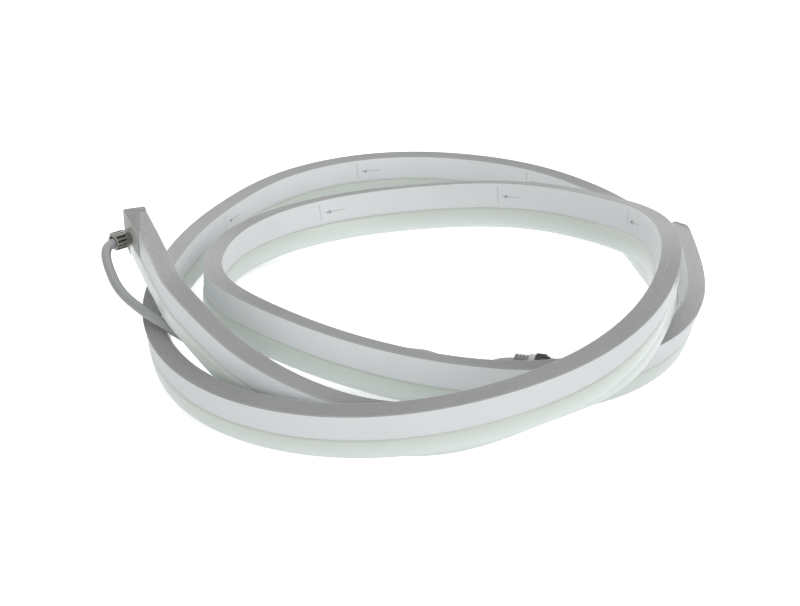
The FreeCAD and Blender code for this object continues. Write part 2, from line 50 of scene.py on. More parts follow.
STATIONS = [
    (-131, 4, 1.128, 0), (-125.8, -11.7, 1.155, 0), (-120.6, -27.4, 1.182, 0), (-115.4, -43.1, 1.21, 1),
    (-109.2, -62.5, 1.27, 2), (-102.2, -82, 1.32, 4), (-90.5, -100, 1.18, 6), (-78, -112.3, 0.877, 5),
    (-61.6, -126, 0.651, 5), (-41, -139, 0.46, 5), (-13, -149, 0.3, 5), (20, -152, 0.36, 5),
    (61, -143, 0.766, 5), (87.5, -129.5, 0.92, 6), (106.5, -106.5, 0.99, 6), (120, -78, 1.13, 5),
    (127.5, -46, 1.0, 4), (128.5, -11, 0.64, 4), (125, 24, 0.383, 4), (119, 58, 0.17, 4),
    (102, 90, 0.043, 4), (75, 116, 0, 4), (40, 131, 0, 4), (2, 135, 0, 4),
    (-35, 126, 0, 4), (-66, 105, 0, 4), (-90, 72, 0, 4), (-107, 35, 0, 4),
    (-116, -2, 0, 5), (-118, -40, 0, 8), (-109, -81, 0.017, 10), (-88, -118, 0.11, 10),
    (-57, -146, 0.298, 10), (-20, -163, 0.553, 9), (18, -168, 0.851, 7), (55, -163, 1.213, 6),
    (87, -147, 1.575, 8), (110, -121, 2.03, 10), (119, -88, 2.29, 10), (116, -52, 2.14, 10),
    (103, -15, 1.723, 11), (79, 20, 1.32, 12), (49, 45, 0.957, 13), (14, 60, 0.596, 15),
    (-24, 64, 0.319, 15), (-58, 56, 0.128, 14), (-83, 35, 0.043, 8), (-94, 6, 0.043, -1),
    (-89, -25, 0.136, -4), (-69, -55, 0.255, -7), (-38, -77, 0.162, -8), (0, -93, 0.026, -8),
    (35, -103, 0, -7), (68, -103, 0, 0), (100, -91, 0, 8), (124, -69, 0, 14),
    (138, -41, 0, 17), (143.5, -8, 0, 20), (144, 25, 0, 20), (143.5, 43, 0, 20)]


def smooth_line(marks, values):
    # A natural cubic through the values; it gives the value and the slope at any mark.
    gaps = np.diff(marks)
    bends = np.eye(len(marks))
    pulls = np.zeros_like(values)
    for i in range(1, len(marks) - 1):
        bends[i, i - 1:i + 2] = gaps[i - 1], 2 * (gaps[i - 1] + gaps[i]), gaps[i]
        pulls[i] = 6 * ((values[i + 1] - values[i]) / gaps[i] - (values[i] - values[i - 1]) / gaps[i - 1])
    seconds = np.linalg.solve(bends, pulls)

    def at(mark):
        i = min(max(int(np.searchsorted(marks, mark)) - 1, 0), len(gaps) - 1)
        gap = gaps[i]
        after = (mark - marks[i]) / gap
        before = 1 - after
        value = before * values[i] + after * values[i + 1]
        bow = (before ** 3 - before) * seconds[i] + (after ** 3 - after) * seconds[i + 1]
        slope = (values[i + 1] - values[i]) / gap
        swing = (1 - 3 * before ** 2) * seconds[i] + (3 * after ** 2 - 1) * seconds[i + 1]
        return value + bow * gap ** 2 / 6, slope + swing * gap / 6
    return at


middles = []
for x, y, lift, lean in STATIONS:
    turn = math.radians(lean)
    level = lift * STRIP_HEIGHT + (STRIP_HEIGHT / 2 - LENS_ROUND) * math.cos(turn)
    level += (LENS_WIDTH / 2 - LENS_ROUND) * abs(math.sin(turn)) + LENS_ROUND
    middles.append(Vector((x + COIL_SHIFT[0], y + COIL_SHIFT[1], level)))
marks = [0.0]
for before, after in zip(middles, middles[1:]):
    marks.append(marks[-1] + (after - before).length)
marks = np.array(marks)
middle_line = smooth_line(marks, np.array(middles, dtype=float))
carried = []
for mark, middle, station in zip(marks, middles, STATIONS):
    turn = math.radians(station[3])
    along = Vector(middle_line(mark)[1]).normalized()
    outward = along.cross(Vector((0, 0, 1))).normalized()
    upright = outward.cross(along)
    side = outward * math.cos(turn) - upright * math.sin(turn)
    up = upright * math.cos(turn) + outward * math.sin(turn)
    carried.append([*middle, *side, *up])
strip_line = smooth_line(marks, np.array(carried, dtype=float))
STRIP_MARK = float(marks[-1])


def strip_place(mark):
    # Strip frame in metres: x runs along, y points to the inside of the coil, z from the lens to the back;
    # its origin is the middle of the lens foot.
    value, slope = strip_line(mark)
    along = Vector(slope[:3]).normalized()
    side = Vector(value[3:6])
    up = Vector(value[6:9])
    foot = Vector(value[:3]) - up * (STRIP_HEIGHT / 2)
    place = Matrix.Identity(4)
    for row in range(3):
        place[row][0] = along[row]
        place[row][1] = -side[row]
        place[row][2] = up[row]
        place[row][3] = foot[row] * MM
    return place @ Matrix.Scale(MM, 4)


# The jacket: an opaque white silicone channel with a ribbed grey back, extruded in one run. Its section is
# drawn once in millimetres and carried along the way, ring by ring. A groove is given by shares of the rib
# pitch and depths, the top edge by insets and drops, the lip above the lens by insets and heights.
RIB_COUNT = 9
RIB_DEPTH = 0.3
RIB_SHOULDER = 0.06
GROOVE = ((0.12, RIB_SHOULDER), (0.4, RIB_DEPTH), (0.6, RIB_DEPTH), (0.88, RIB_SHOULDER))
EDGE_LAND = 0.5
EDGE_ROUND = 0.35
EDGE_CUT = 0.1
EDGE = ((0.0, EDGE_ROUND), (EDGE_CUT, EDGE_CUT), (EDGE_ROUND, 0.0))
LIP = ((0.34, 0.0), (0.2, 0.3), (0.07, 0.9), (0.0, 1.8))
CAVITY_HALF = 2.5
CAVITY_HEIGHT = 8.8
RING_STEP = 4.5
BACK_GREY = (0.345, 0.35, 0.347, 1)
BACK_DARK = (0.295, 0.30, 0.297, 1)
BACK_GRAIN = (1900.0, 0.00004)
BACK_ROUGHNESS = 0.46
WALL_WHITE = (0.70, 0.72, 0.73, 1)
WALL_SHADE = (0.64, 0.66, 0.665, 1)
WALL_GRAIN = (1500.0, 0.00006)
WALL_ROUGHNESS = 0.48
RUBBER_CLOUDS = 38.0
HANDLED_PATCHES = 130.0
HANDLED_SPREAD = 0.22


class Dye:
    # A value, colour or vector in a material; arithmetic on it adds the nodes that work it out.
    def __init__(self, tree, socket):
        self.tree = tree
        self.socket = socket

    def make(self, kind, settings=None, output=0, **sockets):
        # Adds any other node; a socket is named by its words, or by i and its number.
        node = self.tree.nodes.new(kind)
        for name, value in (settings or {}).items():
            setattr(node, name, value)
        for name, value in sockets.items():
            numbered = name[0] == "i" and name[1:].isdigit()
            self.join(node.inputs[int(name[1:]) if numbered else name.replace("_", " ")], value)
        return Dye(self.tree, node.outputs[output])

    def join(self, entry, value):
        if isinstance(value, Dye):
            self.tree.links.new(value.socket, entry)
        else:
            entry.default_value = value

    def maths(self, operation, first, second):
        return self.make("ShaderNodeMath", {"operation": operation}, i0=first, i1=second)

    def __add__(self, other):
        return self.maths("ADD", self, other)

    def __mul__(self, other):
        return self.maths("MULTIPLY", self, other)

    __radd__ = __add__
    __rmul__ = __mul__


def finish(name, roughness, **constants):
    # A new material: its principled shader, and the Object coordinates that its patterns read.
    material = bpy.data.materials.new(name)
    material.use_nodes = True
    tree = material.node_tree
    shader = tree.nodes["Principled BSDF"]
    shader.inputs["Roughness"].default_value = roughness
    for socket, value in constants.items():
        shader.inputs[socket.replace("_", " ")].default_value = value
    place = Dye(tree, None).make("ShaderNodeTexCoord", output=3)
    return material, shader, place


def speckle(place, scale, detail=3.0, roughness=0.55):
    return place.make("ShaderNodeTexNoise", Vector=place, Scale=scale, Detail=detail, Roughness=roughness)


def blend(factor, first, second):
    return factor.make("ShaderNodeMix", {"data_type": "RGBA"}, 2, i0=factor, i6=first, i7=second)


def fade(value, low, high):
    # Rises smoothly from nought to one between the two values.
    return value.make("ShaderNodeMapRange", {"interpolation_type": "SMOOTHSTEP"}, Value=value,
                      From_Min=low, From_Max=high)


def relief(shader, height, distance, strength=0.5):
    # Fine surface grain as a bump; distance is its depth in metres.
    bump = height.make("ShaderNodeBump", Height=height, Distance=distance, Strength=strength)
    bump.join(shader.inputs["Normal"], bump)


def rubber(name, light, dark, roughness, grain):
    # Moulded or extruded silicone: cloudy colour, dull patches where it was handled, a fine matt grain.
    material, shader, place = finish(name, roughness, Specular_IOR_Level=0.4)
    cloud = speckle(place, RUBBER_CLOUDS, 4.0)
    place.join(shader.inputs["Base Color"], blend(cloud, dark, light))
    handled = speckle(place, HANDLED_PATCHES, 5.0, 0.65)
    place.join(shader.inputs["Roughness"], handled * HANDLED_SPREAD + (roughness - HANDLED_SPREAD / 2))
    grain_scale, grain_depth = grain
    relief(shader, speckle(place, grain_scale, 2.0), grain_depth)
    return material


def swept(section):
    # Carries a closed section (across, height) along the way, ring by ring, and closes its two ends. Every
    # vertex keeps its place in the section and its height above the lens foot as a share of the strip's.
    mesh = bmesh.new()
    around = mesh.verts.layers.int.new("around")
    rise = mesh.verts.layers.float.new("rise")
    count = int(STRIP_MARK / RING_STEP)
    place = strip_place(0.0)
    ring = [mesh.verts.new(place @ Vector((0, -across, height))) for across, height in section]
    for index, vert in enumerate(ring):
        vert[around] = index
        vert[rise] = section[index][1] / STRIP_HEIGHT
    starts = [mesh.edges.new((a, b)) for a, b in zip(ring, ring[1:] + ring[:1])]
    edges = starts
    for step in range(1, count + 1):
        onward = strip_place(STRIP_MARK * step / count)
        grown = bmesh.ops.extrude_edge_only(mesh, edges=edges)["geom"]
        verts = [part for part in grown if isinstance(part, bmesh.types.BMVert)]
        edges = [part for part in grown if isinstance(part, bmesh.types.BMEdge)]
        bmesh.ops.transform(mesh, matrix=onward @ place.inverted(), verts=verts)
        place = onward
    for rim in (starts, edges):
        bmesh.ops.contextual_create(mesh, geom=rim)
    bmesh.ops.recalc_face_normals(mesh, faces=mesh.faces[:])
    return mesh


def piece(name, mesh, *materials, slot, angle=35):
    # Turns a bmesh into a finished object that rides on the part's one body; edges past the angle stay sharp.
    data = bpy.data.meshes.new(name)
    mesh.to_mesh(data)
    mesh.free()
    for material in materials:
        data.materials.append(material)
    data.shade_smooth()
    data.set_sharp_from_angle(angle=math.radians(angle))
    made = bpy.data.objects.new(name, data)
    bpy.context.scene.collection.objects.link(made)
    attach(made, "root")
    return made


half = STRIP_WIDTH / 2
crown = STRIP_HEIGHT
rib_pitch = (STRIP_WIDTH - 2 * EDGE_LAND) / RIB_COUNT
cavity_top = LENS_HEIGHT + CAVITY_HEIGHT
jacket_section = [(half - inset, LENS_HEIGHT + height) for inset, height in LIP]
jacket_section += [(half - inset, crown - drop) for inset, drop in EDGE]
for rib in range(RIB_COUNT):
    start = half - EDGE_LAND - rib * rib_pitch
    jacket_section += [(start - share * rib_pitch, crown - depth) for share, depth in GROOVE]
    if rib < RIB_COUNT - 1:
        jacket_section.append((start - rib_pitch, crown))
jacket_section += [(inset - half, crown - drop) for inset, drop in reversed(EDGE)]
jacket_section += [(inset - half, LENS_HEIGHT + height) for inset, height in reversed(LIP)]
jacket_section += [(-CAVITY_HALF, LENS_HEIGHT), (-CAVITY_HALF, cavity_top)]
jacket_section += [(CAVITY_HALF, cavity_top), (CAVITY_HALF, LENS_HEIGHT)]
white_rubber = rubber("jacket_white", WALL_WHITE, WALL_SHADE, WALL_ROUGHNESS, WALL_GRAIN)
grey_rubber = rubber("ribbed_back", BACK_GREY, BACK_DARK, BACK_ROUGHNESS, BACK_GRAIN)
jacket_mesh = swept(jacket_section)
around = jacket_mesh.verts.layers.int["around"]
back_first = jacket_section.index((half, crown - EDGE_ROUND))
back_last = jacket_section.index((-half, crown - EDGE_ROUND))
for face in jacket_mesh.faces:
    if all(back_first <= vert[around] <= back_last for vert in face.verts):
        face.material_index = 1
jacket = piece("strip_jacket", jacket_mesh, white_rubber, grey_rubber, slot="jacket", angle=28)
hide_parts("jacket")

# The lens: milky silicone, a little wider than the channel and with a round foot. It was extruded onto the
# channel, so it has no gap, only a soft crease under the lip. Its colour is darker under the lip as painted
# shade and pales towards the foot. Crease and shoulder are insets, from the wall and from the lens side, and
# drops below the channel.
CREASE = ((0.34, 0.0), (0.2, 0.3))
SHOULDER = ((0.3, 0.75), (0.08, 1.4), (0.0, 2.2))
LENS_SIDE_FOOT = 4.2
ROUND_STEPS = 7
PALE_BELOW = 1.5
LENS_CREASE_PAINTED_SHADE = (0.60, 0.645, 0.585, 1)
LENS_FOOT = (0.73, 0.78, 0.765, 1)
LENS_CLOUD = (0.63, 0.68, 0.64, 1)
LENS_CLOUDS = 30.0
LENS_CLOUDING = 0.35
LENS_ROUGHNESS = 0.34
LENS_SMEARS = 140.0
SMEAR_SPREAD = 0.2
LENS_RIPPLE = 420.0
RIPPLE_DEPTH = 0.00008
wide = LENS_WIDTH / 2
lens_half = [(half - inset, LENS_HEIGHT - drop) for inset, drop in CREASE]
lens_half += [(wide - inset, LENS_HEIGHT - drop) for inset, drop in SHOULDER]
lens_half.append((wide, LENS_SIDE_FOOT))
for step in range(ROUND_STEPS + 1):
    swing = math.radians(90 * step / ROUND_STEPS)
    across = wide - LENS_ROUND + LENS_ROUND * math.cos(swing)
    lens_half.append((across, LENS_ROUND - LENS_ROUND * math.sin(swing)))
lens_section = lens_half + [(-across, height) for across, height in reversed(lens_half)]
lens_rubber, lens_shader, lens_place = finish(
    "lens_milk_painted_shade", LENS_ROUGHNESS, Specular_IOR_Level=0.5, Subsurface_Weight=0.6, Subsurface_Scale=0.005,
    Subsurface_Radius=(1.0, 1.0, 0.9))
# Painted shade: the milky colour darkens from the pale foot up to the crease under the lip.
lens_rise = lens_place.make("ShaderNodeAttribute", {"attribute_name": "rise"}, output=2)
lens_shade_fade = fade(lens_rise, PALE_BELOW / STRIP_HEIGHT, LENS_HEIGHT / STRIP_HEIGHT)
lens_milk_painted_shade = blend(lens_shade_fade, LENS_FOOT, LENS_CREASE_PAINTED_SHADE)
lens_cloud = speckle(lens_place, LENS_CLOUDS, 4.0) * LENS_CLOUDING
lens_place.join(lens_shader.inputs["Base Color"], blend(lens_cloud, lens_milk_painted_shade, LENS_CLOUD))
lens_smears = speckle(lens_place, LENS_SMEARS, 5.0) * SMEAR_SPREAD
lens_place.join(lens_shader.inputs["Roughness"], lens_smears + (LENS_ROUGHNESS - SMEAR_SPREAD / 2))
relief(lens_shader, speckle(lens_place, LENS_RIPPLE, 3.0), RIPPLE_DEPTH, 0.4)
lens = piece("strip_lens", swept(lens_section), lens_rubber, slot="diffuser", angle=40)
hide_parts("diffuser")

# The printed marks: a thin cut line and a plain arrow towards it, in dark ink on the inner wall once in every
# cutting unit. One mark is drawn flat, and each copy is bent onto the wall. Each stroke is given by its
# middle, its length and its height.
UNIT_LENGTH = 101.8
FIRST_CUT = 82.9
INK_LIFT = 0.1
INK_ROUGHNESS = 0.6
INK_SPECKS = 900.0
INK_GREY = (0.27, 0.275, 0.28, 1)
INK_WORN = (0.42, 0.425, 0.43, 1)
CUT_LINE = (0.0, 17.2, 0.24, 8.6)
ARROW_SHAFT = (-9.6, 16.4, 8.2, 0.26)
ARROW_HEAD = (-4.8, 16.4, 3.2, 2.0)
ink = bmesh.new()
for x, z, long, tall in (CUT_LINE, ARROW_SHAFT):
    stroke = bmesh.ops.create_grid(ink, x_segments=6, y_segments=2, size=0.5)["verts"]
    bmesh.ops.scale(ink, vec=(long, tall, 1), verts=stroke)
    bmesh.ops.translate(ink, vec=(x, z, 0), verts=stroke)
x, z, long, tall = ARROW_HEAD
tip = bmesh.ops.create_circle(ink, cap_ends=True, segments=3, radius=1.0)["verts"]
bmesh.ops.rotate(ink, cent=(0, 0, 0), matrix=Matrix.Rotation(math.radians(-90), 3, "Z"), verts=tip)
bmesh.ops.scale(ink, vec=(long / 1.5, tall / math.sqrt(3), 1), verts=tip)
bmesh.ops.translate(ink, vec=(x, z, 0), verts=tip)
drawn = ink.verts[:] + ink.edges[:] + ink.faces[:]
unit_count = int((STRIP_MARK - FIRST_CUT) / UNIT_LENGTH) + 1
for unit in range(unit_count):
    copied = drawn
    if unit < unit_count - 1:
        copied = bmesh.ops.duplicate(ink, geom=drawn)["geom"]
    for vert in copied:
        if isinstance(vert, bmesh.types.BMVert):
            place = strip_place(FIRST_CUT + UNIT_LENGTH * unit + vert.co.x)
            vert.co = place @ Vector((0, half + INK_LIFT, vert.co.y))
ink_skin, ink_shader, ink_place = finish("mark_ink", INK_ROUGHNESS)
worn = speckle(ink_place, INK_SPECKS, 4.0)
ink_place.join(ink_shader.inputs["Base Color"], blend(worn, INK_GREY, INK_WORN))
piece("cut_marks", ink, ink_skin, slot="jacket")

# What lies inside the channel, the gland and the plug: the circuit ribbon, its light chips and resistors, the
# two cores of the lead, the seals and the pins. They keep their solids and only take a finish.
INNER_FINISHES = (
    ("circuit_ribbon", (0.62, 0.6, 0.5, 1), (0.7, 0.69, 0.62, 1), 0.45, 0.0),
    ("side_leds", (0.75, 0.62, 0.2, 1), (0.8, 0.72, 0.35, 1), 0.3, 0.0),
    ("chip_resistors", (0.02, 0.02, 0.02, 1), (0.05, 0.05, 0.05, 1), 0.4, 0.0),
    ("lead_wires", (0.35, 0.03, 0.02, 1), (0.45, 0.05, 0.03, 1), 0.45, 0.0),
    ("gland_seal", (0.02, 0.02, 0.02, 1), (0.04, 0.04, 0.04, 1), 0.7, 0.0),
    ("plug_seal", (0.02, 0.02, 0.02, 1), (0.04, 0.04, 0.04, 1), 0.7, 0.0),
    ("plug_pins", (0.6, 0.5, 0.3, 1), (0.7, 0.62, 0.42, 1), 0.3, 0.9),
)
INNER_CLOUDS = 600.0
INNER_WEAR = 900.0
FINE_SPREAD = 0.25
FINE_DROP = 0.12
for node, dark, light, roughness, metal in INNER_FINISHES:
    skin, skin_shader, skin_place = finish(node + "_skin", roughness, Metallic=metal)
    skin_cloud = speckle(skin_place, INNER_CLOUDS, 4.0)
    skin_place.join(skin_shader.inputs["Base Color"], blend(skin_cloud, dark, light))
    skin_wear = speckle(skin_place, INNER_WEAR, 4.0) * FINE_SPREAD
    skin_place.join(skin_shader.inputs["Roughness"], skin_wear + (roughness - FINE_DROP))
    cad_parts[node].data.materials.clear()
    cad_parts[node].data.materials.append(skin)

# The end caps: soft silicone mouldings glued on the two ends. The feed cap has a cheek along the outer wall
# and a smooth grey flange over part of the ribs, and a slant at the cheek's foot. Their solids are taken over
# with every edge softened.
CAP_MERGE = 1e-6
CAP_VOXEL = 0.22
CAP_SMOOTHING = 10
CAP_SOFTNESS = 0.5
FOOT_TRIM = Vector((0, -5.0, 0.5))
FOOT_SLANT = Vector((0, -0.96, -0.28))
# Painted shade: the caps' white sides are painted darker than the wall's white, for the shade on the cheek's
# outer face.
CAP_PAINTED_SHADE_WHITE = (0.50, 0.505, 0.49, 1)
CAP_SHADE = (0.42, 0.425, 0.41, 1)
CAP_GREY = (0.235, 0.237, 0.227, 1)
CAP_DARK = (0.20, 0.202, 0.193, 1)
GREY_FROM = 0.55
GREY_TO = 1.0
CAP_ROUGHNESS = 0.6
CAP_CLOUDS = 60.0
CAP_SMEARS = 160.0
CAP_GRAIN = 1400.0
CAP_GRAIN_DEPTH = 0.00005
cap_rubber, cap_shader, cap_place = finish("cap_rubber", CAP_ROUGHNESS, Specular_IOR_Level=0.18)
cap_normal = cap_place.make("ShaderNodeNewGeometry", output=1)
facing = cap_place.make("ShaderNodeSeparateXYZ", output=2, Vector=cap_normal)
upward = fade(facing, GREY_FROM, GREY_TO)
cap_cloud = speckle(cap_place, CAP_CLOUDS, 4.0)
# The white of the sides carries painted shade.
cap_shaded_white = blend(cap_cloud, CAP_SHADE, CAP_PAINTED_SHADE_WHITE)
cap_grey = blend(cap_cloud, CAP_DARK, CAP_GREY)
cap_place.join(cap_shader.inputs["Base Color"], blend(upward, cap_shaded_white, cap_grey))
cap_smears = speckle(cap_place, CAP_SMEARS, 5.0) * SMEAR_SPREAD
cap_place.join(cap_shader.inputs["Roughness"], cap_smears + (CAP_ROUGHNESS - SMEAR_SPREAD / 2))
relief(cap_shader, speckle(cap_place, CAP_GRAIN, 2.0), CAP_GRAIN_DEPTH)
feed_place = strip_place(0.0)
for name, node in (("feed_cap", "feed_end_cap"), ("far_cap", "far_end_cap")):
    cap_mesh = bmesh.new()
    cap_mesh.from_mesh(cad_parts[node].data)
    bmesh.ops.remove_doubles(cap_mesh, verts=cap_mesh.verts[:], dist=CAP_MERGE)
    if node == "feed_end_cap":
        whole = cap_mesh.verts[:] + cap_mesh.edges[:] + cap_mesh.faces[:]
        bmesh.ops.bisect_plane(cap_mesh, geom=whole, plane_co=feed_place @ FOOT_TRIM,
                               plane_no=feed_place.to_3x3() @ FOOT_SLANT, clear_outer=True)
        bmesh.ops.holes_fill(cap_mesh, edges=[edge for edge in cap_mesh.edges if edge.is_boundary])
    cap = piece(name, cap_mesh, cap_rubber, slot="end_cap", angle=180)
    fine = cap.modifiers.new("fine", "REMESH")
    fine.mode = "VOXEL"
    fine.voxel_size = CAP_VOXEL * MM
    fine.use_smooth_shade = True
    soft = cap.modifiers.new("soft", "SMOOTH")
    soft.factor = CAP_SOFTNESS
    soft.iterations = CAP_SMOOTHING
    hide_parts(node)

# The gland: a plated collar screwed into the cheek of the feed cap, and a hexagon nut that clamps the lead,
# with two slots in each flat. The slot floors and the nut's mouth are painted near black as painted shade.
# Collar and nut share one axis, which leans along the strip; a profile is radii and heights on it.
GLAND_FROM_END = 14.0
GLAND_HEIGHT = 16.2
GLAND_LEAN = math.radians(22)
COLLAR = ((0, 3.0), (3.7, 3.0), (4.0, 3.25), (4.0, 4.15), (3.75, 4.4), (3.2, 4.4), (3.2, 8.8), (0, 8.8))
NUT_FOOT = 4.6
NUT_LENGTH = 7.4
NUT_FLATS = 8.2
NUT_EDGE = 0.45
NUT_TOP = NUT_FOOT + NUT_LENGTH
FLAT_AREA = 10.0
FLAT_TILT = 0.05
SLOT_NEAR = 0.55
SLOT_FAR = 1.5
SLOT_DEPTH = 0.6
SLOT_DRAFT = 0.05
SLOT_BOTTOM = 1.6 - NUT_LENGTH / 2
SLOT_TOP = NUT_LENGTH / 2 - 0.5
MOUTH_RIM = 1.0
MOUTH_DRAFT = 0.1
MOUTH_DEPTH = 1.2
PLATED_DARK = (0.20, 0.197, 0.18, 1)
PLATED_LIGHT = (0.31, 0.306, 0.282, 1)
SLOT_PAINTED_SHADE = (0.03, 0.029, 0.026, 1)
SLOT_PAINTED_SHADE_GREY = (0.055, 0.053, 0.048, 1)
PLATED_ROUGHNESS = 0.42
SLOT_ROUGHNESS = 0.6
PLATED_TONES = 350.0
PLATED_WEAR = 1200.0
PLATED_SPREAD = 0.3
PLATED_DENTS = 2600.0
DENT_DEPTH = 0.00004
LATHE_STEPS = 48
LATHE_MERGE = 1e-4


def axis_place(origin, axis, up):
    # Frame in metres for a piece drawn in millimetres round its z axis.
    axis = Vector(axis).normalized()
    across = Vector(up) - axis * axis.dot(Vector(up))
    across.normalize()
    third = axis.cross(across)
    place = Matrix((across, third, axis)).transposed().to_4x4()
    place.translation = origin
    return place @ Matrix.Scale(MM, 4)


def turned(profile, place, closed=False):
    # A lathe shape: the profile of (radius, height) is spun once round the z axis.
    mesh = bmesh.new()
    line = [mesh.verts.new((radius, 0, height)) for radius, height in profile]
    pairs = list(zip(line, line[1:]))
    if closed:
        pairs.append((line[-1], line[0]))
    edges = [mesh.edges.new(pair) for pair in pairs]
    bmesh.ops.spin(mesh, geom=line + edges, cent=(0, 0, 0), axis=(0, 0, 1), angle=2 * math.pi,
                   steps=LATHE_STEPS, use_merge=True)
    bmesh.ops.remove_doubles(mesh, verts=mesh.verts[:], dist=LATHE_MERGE)
    bmesh.ops.recalc_face_normals(mesh, faces=mesh.faces[:])
    mesh.transform(place)
    return mesh


def plated(name, dark, light, roughness):
    # Plated metal: worn tone, uneven gloss and small dents.
    material, shader, place = finish(name, roughness, Metallic=0.75)
    place.join(shader.inputs["Base Color"], blend(speckle(place, PLATED_TONES, 5.0, 0.6), dark, light))
    wear = speckle(place, PLATED_WEAR, 4.0) * PLATED_SPREAD
    place.join(shader.inputs["Roughness"], wear + (roughness - PLATED_SPREAD / 2))
    relief(shader, speckle(place, PLATED_DENTS, 3.0), DENT_DEPTH, 0.4)
    return material


feed_turn = feed_place.to_3x3().normalized()
gland_seat = feed_place @ Vector((GLAND_FROM_END, -half, GLAND_HEIGHT))
gland_axis = feed_turn @ Vector((math.sin(GLAND_LEAN), -math.cos(GLAND_LEAN), 0))
gland_place = axis_place(gland_seat, gland_axis, feed_turn.col[2])
gland_metal = plated("gland_plating", PLATED_DARK, PLATED_LIGHT, PLATED_ROUGHNESS)
collar = piece("gland_collar", turned(COLLAR, gland_place), gland_metal, slot="gland_metal", angle=30)
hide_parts("gland_body")
nut = bmesh.new()
nut_radius = NUT_FLATS / math.sqrt(3)
bmesh.ops.create_cone(nut, cap_ends=True, segments=6, radius1=nut_radius, radius2=nut_radius,
                      depth=NUT_LENGTH)
bmesh.ops.bevel(nut, geom=nut.edges[:], offset=NUT_EDGE, segments=2, profile=0.5, affect="EDGES", material=-1)
nut.normal_update()
slots = []
for face in [face for face in nut.faces if abs(face.normal.z) < FLAT_TILT and face.calc_area() > FLAT_AREA]:
    side = Vector((-face.normal.y, face.normal.x, 0))
    slot_cuts = [(side * step, side) for step in (-SLOT_FAR, -SLOT_NEAR, SLOT_NEAR, SLOT_FAR)]
    slot_cuts += [(Vector((0, 0, step)), Vector((0, 0, 1))) for step in (SLOT_BOTTOM, SLOT_TOP)]
    flat = [face]
    for spot, across in slot_cuts:
        near = {part for one in flat for part in (*one.verts, *one.edges, one)}
        cut = bmesh.ops.bisect_plane(nut, geom=list(near), plane_co=spot, plane_no=across)["geom"]
        flat = [part for part in cut if isinstance(part, bmesh.types.BMFace)]
    for field in flat:
        middle = field.calc_center_median()
        if SLOT_BOTTOM < middle.z < SLOT_TOP and SLOT_NEAR < abs(side.dot(middle)) < SLOT_FAR:
            slots.append(field)
bmesh.ops.inset_individual(nut, faces=slots, thickness=SLOT_DRAFT, depth=-SLOT_DEPTH)
mouth = max(nut.faces, key=lambda face: face.calc_center_median().z)
bmesh.ops.inset_individual(nut, faces=[mouth], thickness=MOUTH_RIM, depth=0)
bmesh.ops.inset_individual(nut, faces=[mouth], thickness=MOUTH_DRAFT, depth=-MOUTH_DEPTH)
# Painted shade: the recessed slot floors and the mouth take the near-black finish.
for face in slots + [mouth]:
    face.material_index = 1
bmesh.ops.translate(nut, vec=(0, 0, NUT_FOOT + NUT_LENGTH / 2), verts=nut.verts[:])
bmesh.ops.recalc_face_normals(nut, faces=nut.faces[:])
nut.transform(gland_place)
slot_shade_metal = plated("gland_slot_shade", SLOT_PAINTED_SHADE, SLOT_PAINTED_SHADE_GREY, SLOT_ROUGHNESS)
nut_piece = piece("gland_clamp_nut", nut, gland_metal, slot_shade_metal, slot="gland_metal", angle=25)
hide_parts("gland_nut")

# The plug: a grey ribbed grip moulded on the lead, a light ring and a black fluted barrel with an open pin
# chamber. It lies on the floor inside the coil. Profiles are radii and heights from the grip's foot.
PLUG_RADIUS = 5.6
PLUG_PLAN = (54.0, -70.0)
PLUG_HEADING = Vector((0.97, -0.243, 0)).normalized()
GRIP_RADIUS = 4.3
GRIP_GROOVES = (1.3, 2.9, 4.5)
GRIP_GROOVE = ((GRIP_RADIUS, 0.0), (3.9, 0.3), (3.9, 0.8), (GRIP_RADIUS, 1.1))
GRIP_FOOT = ((2.4, 0), (3.5, 0), (4.1, 0.25), (GRIP_RADIUS, 0.8))
GRIP_TOP = ((GRIP_RADIUS, 6.7), (4.1, 7.0), (2.4, 7.0))
GRIP_DARK = (0.17, 0.175, 0.18, 1)
GRIP_LIGHT = (0.25, 0.255, 0.26, 1)
GRIP_ROUGHNESS = 0.5
RING = ((3.4, 7.0), (4.65, 7.0), (4.9, 7.25), (4.9, 9.95), (4.65, 10.2), (3.4, 10.2))
RING_DARK = (0.42, 0.43, 0.44, 1)
RING_LIGHT = (0.50, 0.51, 0.52, 1)
RING_ROUGHNESS = 0.4
BARREL = (
    (0, 5.3), (3.3, 5.3), (3.3, 10.2), (5.3, 10.2), (PLUG_RADIUS, 10.5), (PLUG_RADIUS, 14.9), (5.1, 15.5),
    (4.0, 15.6), (4.0, 20.2), (3.75, 20.6), (3.3, 20.6), (3.1, 20.4), (3.1, 13.6), (0, 13.6))
BARREL_DARK = (0.012, 0.013, 0.013, 1)
BARREL_LIGHT = (0.03, 0.032, 0.032, 1)
BARREL_ROUGHNESS = 0.35
FLUTE_PITCH = 15.0
FLUTE_FROM = 10.6
FLUTE_TO = 14.8
FLUTE_OUTSIDE = 5.4
FLUTE_RIM = 0.12
FLUTE_DEPTH = 0.3
PLASTIC_CLOUDS = 250.0
PLASTIC_WEAR = 700.0
PLASTIC_GRAIN = 2200.0
PLASTIC_GRAIN_DEPTH = 0.00004


def plastic(name, dark, light, roughness):
    # Moulded plastic: slight cloud in the colour, fine spark-eroded grain.
    material, shader, place = finish(name, roughness)
    place.join(shader.inputs["Base Color"], blend(speckle(place, PLASTIC_CLOUDS, 4.0), dark, light))
    wear = speckle(place, PLASTIC_WEAR, 5.0) * FINE_SPREAD
    place.join(shader.inputs["Roughness"], wear + (roughness - FINE_DROP))
    relief(shader, speckle(place, PLASTIC_GRAIN, 2.0), PLASTIC_GRAIN_DEPTH)
    return material


